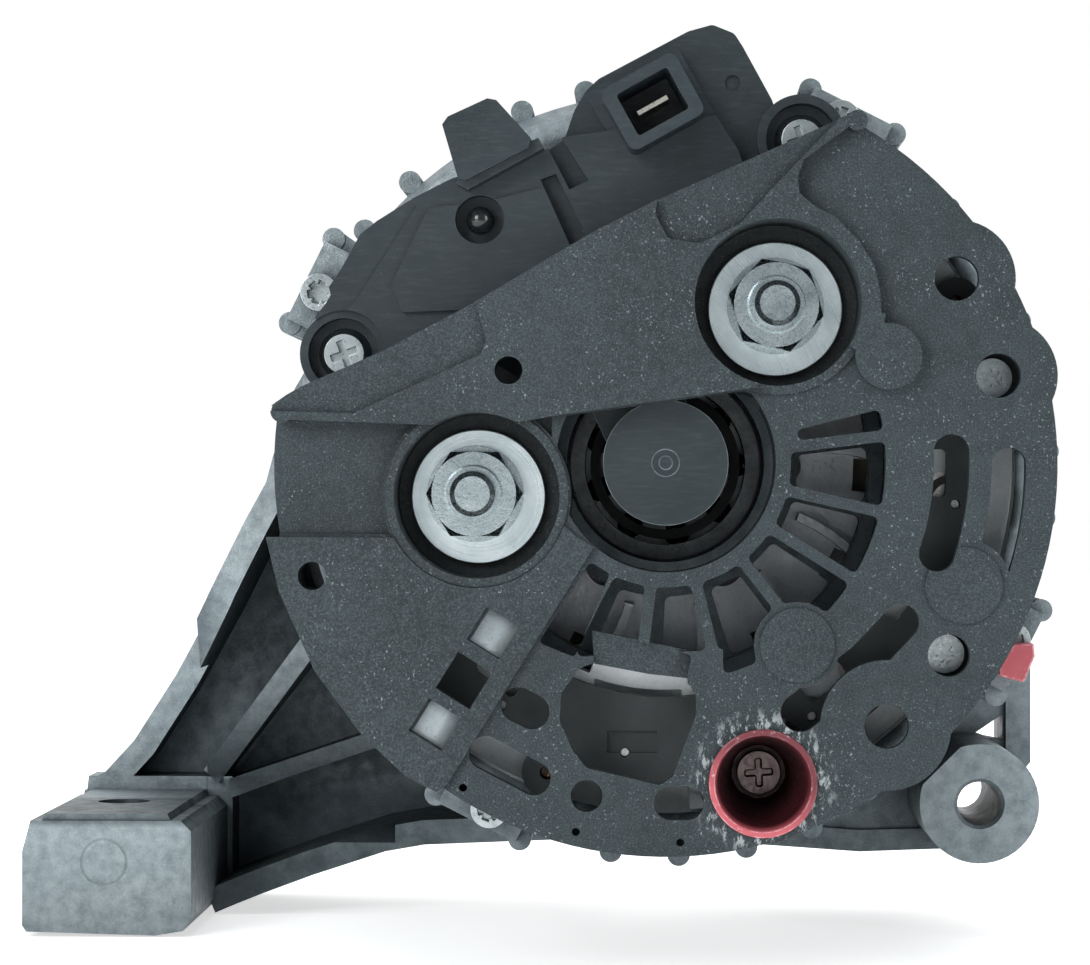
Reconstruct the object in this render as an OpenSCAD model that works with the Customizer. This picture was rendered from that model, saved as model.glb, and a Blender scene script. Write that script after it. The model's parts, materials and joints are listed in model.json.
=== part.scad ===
// Car alternator, claw-pole type with internal fans and a side bracket.
// Millimetres. +Z up, the shaft lies along Y. The pulley is at +Y and the
// rear (slip-ring end) cover faces -Y. The origin is on the shaft axis, in
// the middle of the belt track of the pulley.

/* [Housing] */
// Outer radius of the cast end frames, over the wall
housing_r = 71; // [70.5:0.25:71.5]
// Radius to the tips of the cast cooling ribs
rib_tip_r = 74.8; // [74:0.2:75.4]
// Number of cooling ribs round the rear frame
rib_count = 36; // [30:6:36]

/* [Stator and rotor] */
// Outer radius of the laminated stator core
stator_r = 68.5; // [68:0.1:68.5]
// Bore radius of the stator core
stator_bore_r = 53; // [53:0.1:53.4]
// Number of stator slots
slot_count = 36; // [24:12:36]
// Outer radius of the claw poles
rotor_r = 52.6; // [52:0.1:52.6]
// Claws on each pole half
claw_count = 6; // [5:1:6]

/* [Shaft and bearings] */
// Shaft radius at the bearings
shaft_r = 8.5; // [8.5:0.1:8.6]
// Outer radius of the front bearing
front_bearing_r = 23.5; // [23.5:0.1:23.6]
// Outer radius of the rear bearing
rear_bearing_r = 17.5; // [17.4:0.1:17.5]
// Radius of the slip rings
slip_ring_r = 7.5; // [7.3:0.05:7.5]

/* [Pulley] */
// Radius over the ribs of the pulley
pulley_r = 28; // [27:0.5:30]
// Width of the pulley
pulley_w = 26; // [25:0.5:26]
// Number of belt ribs
belt_ribs = 6; // [4:1:6]

/* [Rear cover] */
// Radius of the plastic rear cover
cover_r = 68.75; // [68.5:0.25:69.5]
// Radius of the central opening
opening_r = 19.3; // [19:0.1:19.6]
// Height of the raised shield over the cover face
shield_h = 3.5; // [2:0.25:4]
// Radius of the recess round each terminal nut
recess_r = 14.6; // [14.2:0.1:14.8]

/* [Terminals] */
// Radius of the battery terminal studs, M8
stud_r = 4; // [3.8:0.1:4]
// Radius of the studs inside their nuts, at the root of the thread
thread_root_r = 3.4; // [3.2:0.1:3.5]
// Across-flats size of the terminal nuts
nut_af = 15; // [13:0.5:15]
// Radius of the terminal washers
washer_r = 12; // [11:0.25:12.5]

/* [Mounting] */
// Radius of the hole through the pivot boss, M8 clearance
boss_hole_r = 4.25; // [4.2:0.05:4.5]
// Outer radius of the pivot boss
boss_r = 11.6; // [11.4:0.1:12]
// Radius of the hole through the foot, M10 clearance
foot_hole_r = 5.25; // [5.2:0.05:5.5]

/* [Brushes] */
// Free length of brush that stands between ring and spring
brush_l = 20; // [16:0.5:20]
// Angle of the brush holder about the shaft, degrees from +X
brush_a = 115; // [114:0.5:116]

/* [Hidden] */
$fn = 64;

// Stations along the shaft
y_face = -165;      // main face of the rear cover
y_shield = y_face - shield_h;
y_rear = -132;      // rear face of the rear frame
y_s0 = -100;        // rear end of the stator core
y_s1 = -62;         // front end of the stator core
y_web = -28;        // back of the bracket web
y_front = -20;      // nose of the front frame

// Places on the cover face, [x, z]
b1 = [-33.2, -5.8];
b2 = [19.6, 28];
s1 = [-34, -5.5];    // left stud, a little off the centre of its recess
bolt_r = 71.4;
bolt_a = [63, 153.5, 243, 333];
boss = [61.3, -65.7];
foot_x = -109.5;
foot_y = -70;
cup = [17, -56.2];
reg_l = [-57.8, 19.7];
reg_r = [24.4, 58.1];
con = [-2.3, 63.6];
con_a = 29;
spokes = [7, -13, -32, -52, -76, -97, -117];
ubr = [cos(brush_a), sin(brush_a)];

function pol(r, a) = [r * cos(a), r * sin(a)];

// ---- helpers: every shape is drawn as seen from behind, x right, z up ----
module ex(y0, y1) translate([0, y1, 0]) rotate([90, 0, 0])
  linear_extrude(height = y1 - y0) children();
module cyl(r, y0, y1, p = [0, 0], fn = 64) translate([p[0], y1, p[1]])
  rotate([90, 0, 0]) cylinder(r = r, h = y1 - y0, $fn = fn);
module cone(ra, rb, y0, y1, p = [0, 0], fn = 64) translate([p[0], y1, p[1]])
  rotate([90, 0, 0]) cylinder(r1 = rb, r2 = ra, h = y1 - y0, $fn = fn);
module rev(pts, fn = 96) rotate([90, 0, 0]) rotate_extrude($fn = fn)
  polygon([for (p = pts) [p[0], -p[1]]]);
module at(p, a = 0) translate([p[0], p[1]]) rotate(a) children();
module ring2(r0, r1, fn = 96) difference() { circle(r1, $fn = fn); circle(r0, $fn = fn); }
module wedge(a0, a1, r = 200) polygon(concat([[0, 0]],
  [for (i = [0:8]) pol(r, a0 + (a1 - a0) * i / 8)]));
module sector(r0, r1, a0, a1) intersection() { ring2(r0, r1); wedge(a0, a1); }
module strip(a, b, w) {
  d = [b[0] - a[0], b[1] - a[1]];
  at(a, atan2(d[1], d[0])) translate([0, -w / 2]) square([norm(d), w]);
}
module slot(a, b, r) { at(a) circle(r, $fn = 32); at(b) circle(r, $fn = 32); strip(a, b, 2 * r - 0.04); }
// curved slot of half width w, centre line radius r, with round ends
module arc_slot(r, w, a0, a1) {
  sector(r - w, r + w, a0, a1);
  at(pol(r, a0)) circle(w + 0.03, $fn = 32);
  at(pol(r, a1)) circle(w + 0.03, $fn = 32);
}
module hex(af) circle(r = af / 2 / cos(30), $fn = 6);
module round2(r) offset(r = r, $fn = 24) offset(delta = -r) children();

// ======================= front frame, bracket and boss =======================
// Silhouette of the outer wall of the bracket, from the housing to the foot
arm_out = [[-70, 26], [-77, 14], [-80, 3], [-81.6, -3], [-86, -11], [-94, -27],
  [-103, -43.5], [-112, -57.5], [-118, -64], [-121.5, -66]];
// Underside of the bracket, from the foot to the housing
arm_low = [[-92, -91.3], [-88, -89.6], [-82, -87.2], [-72, -83.5], [-57, -78.6],
  [-49, -77.2], [-36, -76.6], [-20, -76], [-6, -74]];
function shift_in(p, d) = [for (i = [0:len(p) - 1])
  let (a = p[max(i - 1, 0)], b = p[min(i + 1, len(p) - 1)],
       t = [b[0] - a[0], b[1] - a[1]], n = norm(t))
  [p[i][0] - d * t[1] / n, p[i][1] + d * t[0] / n]];
function rev_list(p) = [for (i = [len(p) - 1:-1:0]) p[i]];

module bracket_outline() polygon(concat(arm_out, [[-121.5, -84], [-112, -91.3]],
  arm_low, [[2, -39], [-40, 2], [-60, 20]]));

module bracket() {
  difference() {
    union() {
      // web at the front of the bracket
      ex(y_web, -21) bracket_outline();
      // outer wall
      ex(-61.5, y_web) polygon(concat(arm_out, rev_list(shift_in(arm_out, 5))));
      // lower wall
      ex(-61.5, y_web) polygon(concat(arm_low, rev_list(shift_in(arm_low, 5))));
      // middle rib
      ex(-60, y_web) strip([-62, -22], [-95.5, -65], 4.2);
      // short rib under the first
      ex(-58, y_web) strip([-45, -51.5], [-91, -67.2], 3.6);
      // floor of the pockets, level with the top of the foot
      ex(-40, y_web) polygon([[-122, -68.5], [-91, -68.5], [-91, -65], [-121.6, -65]]);
      // foot block
      ex(-100, -40) polygon([[-123.4, -69], [-94, -69], [-92, -71], [-92, -88],
        [-93.6, -90.4], [-99, -91.3], [-124.2, -90.6], [-125, -89.4], [-125, -75]]);
      ex(-40, -21) polygon([[-122.5, -68], [-91, -68], [-91, -90.5], [-99, -91.3],
        [-121.5, -90.6], [-123.5, -85]]);
      // raised pad
      ex(-99, -40) polygon([[-121.4, -69.2], [-96, -69.2], [-96.8, -67.7], [-120.6, -67.7]]);
    }
    // the rear edges of the walls fall back towards the foot
    translate([0, -40.01, -65]) rotate([28.8, 0, 0])
      translate([-160, -80, 0]) cube([105, 80, 60]);
    // room for what is clamped on the pad
    translate([-130, -104, -68.6]) cube([33.8, 64.6, 50]);
  }
  // foot block, whole
  ex(-100, -38) polygon([[-123.4, -69], [-94, -69], [-92, -71], [-92, -88],
    [-93.6, -90.4], [-99, -91.3], [-124.2, -90.6], [-125, -89.4], [-125, -75]]);
  ex(-99, -40) polygon([[-121.4, -69.2], [-96, -69.2], [-96.8, -67.7], [-120.6, -67.7]]);
}

module boss_arm() {
  // web and outer walls of the pivot boss bracket
  ex(-60, -50) difference() {
    polygon([[18, -66], [18, -77], [40, -78.4], [61, -77.2], [72, -66],
      [74.2, -60], [74.2, -36], [66, -26], [50, -40]]);
    polygon([[63, -54.6], [69.2, -50.4], [69.2, -55.8]]);
  }
  ex(-61.2, -36.2) polygon([[69.8, -66], [74.8, -60], [74.8, -34], [69.8, -30]]);
  ex(-61, -36.4) polygon([[14, -72.2], [14, -76.6], [40, -78.4], [61, -77.6], [61, -73.4], [40, -74]]);
  // boss
  difference() {
    cyl(boss_r, -95, -52.5, boss, 96);
    // flat on the housing side
    ex(-96, -62) at(boss, 135) translate([10.4, -15]) square([6, 30]);
  }
}

module front_frame() color([0.66, 0.7, 0.72]) difference() {
  union() {
    difference() {
      union() {
        rev([[14, y_front], [27, y_front], [30, -23], [31, -26], [54, -27.5], [62, -31],
          [69, -42], [housing_r, -48], [housing_r, -64], [stator_r + 0.1, -64],
          [stator_r + 0.1, y_s1], [65.6, y_s1], [65.6, -48], [60, -37], [52, -31.5],
          [30.5, -30], [30.5, -38], [front_bearing_r, -38], [front_bearing_r, -24],
          [14, -24]]);
        for (i = [0:35]) let (a = i * 10 + 2)
          if (min([for (b = bolt_a) abs(a - b)]) > 7) {
            rotate([0, -a, 0]) translate([64, -61.4, -1.8]) cube([rib_tip_r - 67.6, 22.9, 3.6]);
          }
        for (b = bolt_a) {
          cyl(6.4, -63.5, -44.4, pol(bolt_r - 1, b), 48);
          rib(b + 5.8, rib_tip_r + 1.2, -62.8, -46.3);
          rib(b - 5.8, rib_tip_r + 1.2, -62.8, -46.3);
        }
        boss_arm();
        intersection() {
          bracket();
          difference() {
            translate([-200, -110, -120]) cube([300, 100, 160]);
            cyl(66, -120, -31);
          }
        }
      }
      // air inlets in the nose
      ex(-36, -18) for (i = [0:11]) rotate(i * 30 + 8) round2(2) sector(34, 52, 0, 22);
      // the space inside the bell
      rev([[0, -49], [0, -110], [stator_r + 0.1, -110], [stator_r + 0.1, y_s1],
        [65.6, y_s1], [65.6, -49]]);
    }
  }
  // air outlets round the wall
  for (i = [0:35]) let (a = i * 10 + 5)
    if (min([for (b = bolt_a) abs(a - b)]) > 7 && !(a > 165 && a < 275) && !(a > 300 && a < 342))
      rotate([0, -a, 0]) translate([56, -47, -2.2]) cube([25, 12, 4.4]);
  // threaded holes for the through bolts
  for (a = bolt_a) cyl(2.5, -70, -43, pol(bolt_r, a), 32);
  // pivot hole with chamfers
  cyl(boss_hole_r, -100, -46, boss);
  cone(boss_hole_r + 0.7, boss_hole_r, -95.01, -94.3, boss);
  cone(boss_hole_r, boss_hole_r + 0.7, -53.2, -47.9, boss);
  // foot hole
  translate([foot_x, foot_y, -100]) cylinder(r = foot_hole_r, h = 40);
  // screw holes of the bearing plate
  for (a = [45:90:315]) cyl(1.9, -40, -29, pol(27, a), 32);
}

// ================================ rear frame ================================
ear_r = 74.9;
// cooling rib along the wall with a round crest
module rib(a, tip, y0, y1) {
  rotate([0, -a, 0]) translate([66.7, y0 + 0.3, -1.85]) cube([tip - 68.8, y1 - y0 - 0.6, 3.7]);
  cyl(2.1, y0, y1, pol(tip - 2.1, a), 32);
}
module rear_frame() color([0.68, 0.72, 0.73]) difference() {
  union() {
    rev([[17.8, -147], [20.4, -147], [21.2, -146], [21.8, y_rear], [63, y_rear], [67.4, -130],
      [housing_r - 1.6, -126.5], [housing_r, -106], [housing_r, -98], [stator_r + 0.1, -98], [stator_r + 0.1, y_s0],
      [65.6, y_s0], [65.6, -123], [62, -127.5], [24, -127.5], [24, -117], [19, -117],
      [19, -129], [17.8, -129]]);
    for (i = [0:rib_count - 1]) let (a = i * 360 / rib_count + 2)
      if (min([for (b = bolt_a) abs(a - b)]) > 11)
        rib(a, (a > 235 && a < 300) ? rib_tip_r : rib_tip_r - 1.6, -126, -99.5);
    for (b = bolt_a) {
      rib(b + 5.8, rib_tip_r + 2, -128, -98.5);
      rib(b - 7.8, rib_tip_r + 2, -128, -98.5);
      ex(-131, -98.5) intersection() {
        rotate(b) translate([66, -9]) square([ear_r - 66, 16]);
        circle(77, $fn = 96);
      }
    }
    // posts that carry the regulator
    cyl(6.4, -140, -130, reg_l, 48);
    cyl(6.4, -140, -130, reg_r, 48);
    // ring round the air windows, with the thin cast rim
    ex(-134, -131) ring2(37.6, 40);
  }
  // radial air windows between the spokes
  ex(-140, -120) for (i = [0:17]) if (abs(i * 20 + 7 + 10 - 117) > 9)
    rotate(i * 20 + 7) round2(1.2) difference() {
      sector(24.4, 37.4, 0, 20);
      rotate(0) translate([0, -1.3]) square([50, 2.6]);
      rotate(20) translate([0, -1.3]) square([50, 2.6]);
    }
  // air outlets round the wall
  for (i = [0:rib_count - 1]) let (a = (i + 0.5) * 360 / rib_count + 2)
    if (min([for (b = bolt_a) abs(a - b)]) > 8)
      rotate([0, -a, 0]) translate([60, -122.2, -2.4]) cube([16, 16.5, 4.8]);
  for (a = bolt_a) cyl(2.7, -133, -97, pol(bolt_r, a), 32);
  // the brush holder passes through the long hub
  ex(-153, -130.5) at([0, 0], brush_a) translate([10, -8.4]) square([20, 16.8]);
  // pressed diodes
  for (a = dio_n) cyl(6.4, -140, -120, pol(52.5, a));
  // holes for the winding leads
  for (a = lead_a) cyl(2.6, -140, -120, pol(59.5, a), 32);
  // screw holes of the regulator and the rectifier
  for (p = [reg_l, reg_r]) cyl(1.7, -141, -120, p, 32);
  for (a = rect_a) cyl(1.8, -141, -120, pol(60.2, a), 32);
  cyl(2.1, -141, -120, cup, 32);
  // seats of the stator core and of the bolt heads
  cyl(stator_r + 0.1, y_s0, y_s0 + 10);
  for (a = bolt_a) cyl(3.7, -137, -131, pol(bolt_r, a), 48);
}

dio_n = [-160, -124, -60, -24, 6, 36];
dio_p = [-142, -98, -44, -8, 22, 50];
lead_a = [-151, -111, 29];
rect_a = [14.6, -34.3];

// ============================== stator and bolts ==============================
module stator_core() color([0.35, 0.36, 0.37]) ex(y_s0, y_s1) difference() {
  circle(stator_r, $fn = 128);
  circle(stator_bore_r, $fn = 128);
  for (i = [0:slot_count - 1]) rotate(i * 360 / slot_count)
    translate([stator_bore_r - 1, -1.5]) square([9.6, 3]);
}
module stator_winding() color([0.62, 0.32, 0.14]) {
  rev([[55, y_s0], [54.2, -104], [55.5, -111], [58, -113], [61, -112], [63.6, -107],
    [62.6, y_s0]]);
  rev([[55, y_s1], [62.6, y_s1], [63.6, -56], [61, -51], [58, -50], [55.5, -52], [54.2, -58]]);
  for (i = [0:slot_count - 1]) rotate([0, -i * 360 / slot_count, 0])
    translate([55.2, y_s0 - 1, -1.3]) cube([6, 40, 2.6]);
}
module stator_leads() color([0.66, 0.34, 0.16]) for (a = lead_a) {
  cyl(1.1, -146.5, -111, pol(59.5, a), 24);
}
module through_bolts() color([0.75, 0.77, 0.78]) for (a = bolt_a) difference() {
  union() {
    cyl(3.5, -133.6, -131, pol(bolt_r, a), 48);
    cyl(2.45, -131.5, -46, pol(bolt_r, a), 32);
  }
  ex(-136, -131.4) at(pol(bolt_r, a)) for (k = [0:2]) rotate(k * 60 + 10)
    translate([-2.2, -0.75]) square([4.4, 1.5]);
}

// ================================== rotor ==================================
module rotor_shaft() color([0.72, 0.73, 0.75]) difference() {
  rev([[0, -158], [4.6, -158], [5, -157.4], [5, -130], [shaft_r, -130], [shaft_r, -107],
    [9.5, -106.5], [9.5, -55], [shaft_r, -54], [shaft_r, 11.9], [7.8, 11.9], [7.8, 26.2], [7, 27.4],
    [0, 27.4]]);
  ex(16, 28) hex(8);
}
module claw(y0, y1) // one claw and its root, pointing along +X
  rotate([0, 90, 0]) linear_extrude(height = 60) polygon([[-12.6, y0], [12.6, y0],
    [11.8, y0 + sign(y1 - y0) * 13], [5.4, y1], [-5.4, y1], [-11.8, y0 + sign(y1 - y0) * 13]]);
module claw_half() difference() {
  union() {
    intersection() {
      rev([[9.5, -55], [49.5, -55], [rotor_r, -58], [rotor_r, -101.4], [47.8, -101.4],
        [43.6, -67], [9.5, -67]]);
      for (i = [0:claw_count - 1]) rotate([0, -i * 360 / claw_count, 0]) claw(-54, -101.6);
    }
    cyl(33, -67, -55);
    cyl(25.8, -81, -60);
  }
  cyl(9.5, -110, -50);
}
module claw_pole_front() color([0.4, 0.42, 0.44]) claw_half();
module claw_pole_rear() color([0.4, 0.42, 0.44]) rotate([0, 180 / claw_count, 0])
  translate([0, -162, 0]) mirror([0, 1, 0]) claw_half();
module field_coil() color([0.6, 0.3, 0.13]) rev([[27.6, -93], [42, -93], [42.6, -92], [42.6, -70],
  [42, -69], [27.6, -69]]);
module coil_bobbin() color([0.85, 0.83, 0.76]) rev([[26, -94.8], [43, -94.8], [43, -93.2],
  [27.4, -93.2], [27.4, -68.8], [43, -68.8], [43, -67.2], [26, -67.2]]);
module blade(h0, h1) ex(h0, h1) intersection() {
  difference() {
    translate([30, -26]) circle(30, $fn = 64);
    translate([30, -26]) circle(28.4, $fn = 64);
  }
  ring2(27, 47);
  translate([20, -8]) square([30, 30]);
}
module front_fan() color([0.58, 0.6, 0.62]) {
  ex(-55, -53.4) difference() {
    circle(36);
    circle(9.6);
    for (i = [0:5]) rotate(i * 60 + 30) at([22, 0]) circle(4, $fn = 32);
  }
  ex(-55, -53.4) for (i = [0:10]) rotate(i * 360 / 11) sector(34, 47.4, 2, 24);
  for (i = [0:10]) rotate([0, -i * 360 / 11, 0]) blade(-53.6, -44);
}
module rear_fan() color([0.58, 0.6, 0.62]) {
  ex(-108.6, -107) difference() {
    circle(36);
    circle(9.6);
    for (i = [0:5]) rotate(i * 60) at([22, 0]) circle(4, $fn = 32);
  }
  ex(-108.6, -107) for (i = [0:12]) rotate(i * 360 / 13) sector(34, 47.4, 2, 20);
  for (i = [0:12]) rotate([0, -i * 360 / 13, 0]) blade(-115.5, -108.4);
}
module slip_ring_inner() color([0.78, 0.5, 0.28]) rev([[6.2, -143], [slip_ring_r, -143],
  [slip_ring_r, -136.5], [6.2, -136.5]]);
module slip_ring_outer() color([0.78, 0.5, 0.28]) rev([[6.2, -154], [slip_ring_r, -154],
  [slip_ring_r, -147.5], [6.2, -147.5]]);
module slip_ring_insulator() color([0.2, 0.2, 0.2]) rev([[5, -157], [6.9, -157], [6.9, -154],
  [6.2, -154], [6.2, -147.5], [6.9, -147.5], [6.9, -143], [6.2, -143], [6.2, -136.5],
  [6.9, -136.5], [6.9, -131], [5, -131]]);

// ================================= bearings =================================
module race(r0, r1, y0, y1, rp, rb) rotate([90, 0, 0]) rotate_extrude($fn = 96) difference() {
  translate([r0, -y1]) square([r1 - r0, y1 - y0]);
  translate([rp, -(y0 + y1) / 2]) circle(rb, $fn = 48);
}
module balls(n, rp, rb, y) for (i = [0:n - 1]) rotate([0, -i * 360 / n, 0])
  translate([rp, y, 0]) sphere(rb, $fn = 32);
module cage(n, rp, w, rb, y) difference() {
  rev([[rp - w, y - rb - 0.5], [rp + w, y - rb - 0.5], [rp + w, y + rb + 0.5],
    [rp - w, y + rb + 0.5]]);
  for (i = [0:n - 1]) rotate([0, -i * 360 / n, 0]) translate([rp - 5, y, 0])
    rotate([0, 90, 0]) cylinder(r = rb + 0.2, h = 10, $fn = 32);
}
module front_bearing_outer_race() color("silver") race(19.2, front_bearing_r, -38, -24, 16, 4.42);
module front_bearing_inner_race() color("silver") race(shaft_r, 12.8, -38, -24, 16, 4.42);
module front_bearing_balls() color("gainsboro") balls(7, 16, 4.36, -31);
module front_bearing_cage() color([0.5, 0.42, 0.25]) cage(7, 16, 1.3, 4.36, -31);
module rear_bearing_outer_race() color("silver") race(14.9, rear_bearing_r, -128, -118, 13, 2.44);
module rear_bearing_inner_race() color("silver") race(shaft_r, 11.1, -128, -118, 13, 2.44);
module rear_bearing_balls() color("gainsboro") balls(9, 13, 2.38, -123);
module rear_bearing_cage() color([0.5, 0.42, 0.25]) cage(9, 13, 0.9, 2.38, -123);
module rear_bearing_sleeve() color([0.14, 0.14, 0.15]) rev([[rear_bearing_r, -128.8], [19, -128.8],
  [19, -117], [rear_bearing_r, -117]]);
module bearing_retainer_plate() color([0.6, 0.62, 0.64]) ex(-40.2, -38) difference() {
  round2(4) intersection() { circle(30); square([54, 54], center = true); }
  circle(15);
  for (a = [45:90:315]) at(pol(27, a)) circle(2.2, $fn = 32);
}
module retainer_screws() color([0.7, 0.72, 0.74]) for (a = [45:90:315]) {
  cyl(1.9, -41, -31, pol(27, a), 32);
  difference() {
    cyl(3.4, -42.4, -40.2, pol(27, a), 32);
    ex(-43, -41) at(pol(27, a)) { square([4, 0.9], center = true); square([0.9, 4], center = true); }
  }
}
module shaft_spacer() color([0.7, 0.71, 0.73]) rev([[shaft_r, -24], [12, -24], [12.6, -22],
  [12.6, -13], [shaft_r, -13]]);

// ================================== pulley ==================================
pitch = 3.56;
function groove(i) = let (y = (i - (belt_ribs - 1) / 2) * pitch)
  [[pulley_r, y - 1.5], [pulley_r - 3, y - 0.35], [pulley_r - 3, y + 0.35], [pulley_r, y + 1.5]];
module pulley() color([0.32, 0.34, 0.36]) rev(concat(
  [[shaft_r, -13], [13, -13], [14.5, -8], [20, -8], [22, -pulley_w / 2], [pulley_r - 1, -pulley_w / 2],
   [pulley_r, -pulley_w / 2 + 0.8]],
  [for (i = [0:belt_ribs - 1]) each groove(i)],
  [[pulley_r, pulley_w / 2 - 0.8], [pulley_r - 1, pulley_w / 2], [22, pulley_w / 2], [20, 6], [15, 6],
   [14, 11.9], [shaft_r, 11.9]]));
module pulley_nut() color([0.78, 0.8, 0.8]) difference() {
  union() {
    ex(13.6, 23) intersection() { hex(24); circle(13.4, $fn = 64); }
    rev([[7.8, 11.9], [13.9, 11.9], [13.9, 13], [12, 14], [7.8, 14]]);
  }
  cyl(7.8, 5, 30);
  cone(7.8, 8.6, 22.2, 23.01);
}

// ================================ rear cover ================================
shield_up = [[-69.2, 10], [-66.5, 11.9], [-63.6, 13.5], [-49.3, 19.7], [-32.6, 28.5], [-13.3, 39.9],
  [-1.1, 46.1], [30.5, 60.1], [33.5, 61.3]];
module cover_outline() difference() {
  union() {
    at([-0.3, -0.4]) circle(cover_r, $fn = 128);
    at([50.9, 32.2]) circle(10.3);
    at([58.2, 15.2]) circle(10.3);
    at([38.6, -46.2]) circle(11.3);
    at([-67.2, 9]) circle(2, $fn = 32);
    at([33.4, 59.6]) circle(1.8, $fn = 32);
  }
  polygon(concat([[-95, 9.8]], shield_up, [[36, 62], [40, 110], [-95, 110]]));
}
module shield_outline() difference() {
  union() {
    polygon(concat(rev_list(shield_up), [[-69, 10], [-68.4, 7.6], [-41.4, 6.6], [-32.6, 8.7],
      [-25.6, 7.1], [-18.6, 8.3], [16, 13.1], [27, 30], [26, 50], [33.5, 57.6]]));
    at([-67.2, 9]) circle(2, $fn = 32);
    at([33.4, 59.6]) circle(1.8, $fn = 32);
    at(b2) sector(recess_r, recess_r + 4.2, -32, 80);
    at([38.8, 18.5]) circle(5.8, $fn = 48);
  }
  // open field right of the recess band, where the shield stops
  difference() {
    polygon([[33.8, 59.9], [24.1, 52.8], [23, 49.9], [23.3, 46.9], [26, 44.6], [29.6, 42.7],
      [33.8, 38.3], [36.3, 34.3], [37.3, 29.7], [37.5, 26.1], [60, 20], [60, 70], [35.6, 61]]);
    at([38.8, 18.5]) circle(5.8, $fn = 48);
    at([33.4, 59.6]) circle(1.8, $fn = 32);
  }
}
module sector_plate() difference() {
  polygon([[-70.2, -13.1], [-46.3, -13.2], [-20, -9], [-15.8, -12.9], [-12.6, -14.8], [-38.2, -56.2],
    [-40.2, -57.8], [-45.6, -55], [-53.3, -47.8], [-61.6, -36.6], [-67.9, -22.7]]);
  at(b1) circle(recess_r + 1.6);
}
module cover_windows() {
  // square clip windows beside the sector plate
  at([-30.3, -29.9], -32) square([6.7, 6.7], center = true);
  at([-35.4, -38.2], -32) square([7, 7.5], center = true);
  at([-40.5, -45.9], -32) square([6.7, 6.7], center = true);
  // round access holes
  for (p = [[50.9, 32.2, 3.9], [58.2, 15.2, 3.9], [49.5, -33.8, 3.7], [38.6, -46.2, 3.9],
    [-13.9, -58.5, 2.8], [-27.5, 16.1, 2.45], [-62.1, -19.9, 2.5], [-15.8, -64.8, 0.7],
    [2.5, -66.6, 0.7], [-35.6, -57.1, 0.7]]) at([p[0], p[1]]) circle(p[2], $fn = 40);
  slot([0.9, -59.7], [3.7, -59.7], 3);
  // slots
  arc_slot(50, 3.1, -18.6, 2.1);
  difference() {
    arc_slot(60, 3, -18.6, -0.4);
    at([52.1, -21.5]) circle(8.2);
  }
  difference() {
    union() {
      slot([41.1, -28], [34, -35.5], 3.2);
      slot([34, -35.5], [23.5, -43.8], 3.4);
    }
    at([38.6, -46.2]) circle(11.6);
    at([23, -32]) circle(7.5);
  }
  slot([-25.9, -42.5], [-23.5, -43.7], 3.1);
  slot([-31.6, -51], [-23.2, -55.4], 3);
  // trapezoid window
  round2(1) polygon([[-11.8, -29.6], [-12.8, -35.2], [-15.3, -36.2], [-18.4, -40.6],
    [-18.6, -45.5], [-16.3, -50.6], [-13.9, -53.6], [-1, -56.6], [1.2, -55], [5.3, -44.1],
    [5.3, -41.3], [3.7, -37.8], [4.6, -33.8]]);
  // radial air slots
  round2(1) difference() {
    sector(21.9, 38.5, -116, 14);
    for (a = spokes) rotate(a) translate([0, -1]) square([60, 2]);
    at([23, -32]) circle(7.6);
    at([38.8, 18.5]) circle(7.4);
    at(b2) circle(recess_r + 2.2);
    polygon([[-30, -60], [-30, -34.8], [10, -32.8], [10, -60]]);
  }
  // long slot beside the sector plate
  round2(0.8) polygon([[-13.2, -17.4], [-9.8, -19.6], [-16, -34.2], [-22.4, -31.6]]);
}
module cover_opening() difference() {
  circle(opening_r, $fn = 96);
  at(b1) circle(recess_r + 1.9);
  at(b2) circle(recess_r + 1.9);
  polygon([[-30, 7.5], [-18.6, 8.1], [16, 12.9], [30, 16], [30, 40], [-30, 40]]);
}
module rear_cover() color([0.13, 0.14, 0.15]) {
  // lower plate across the inner ends of the radial slots
  ex(-162.6, -160) polygon([[-13, -29.5], [5, -33.2], [4.4, -38], [-3, -37.2], [-12.6, -35.4]]);
  cover_shell();
}
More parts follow.
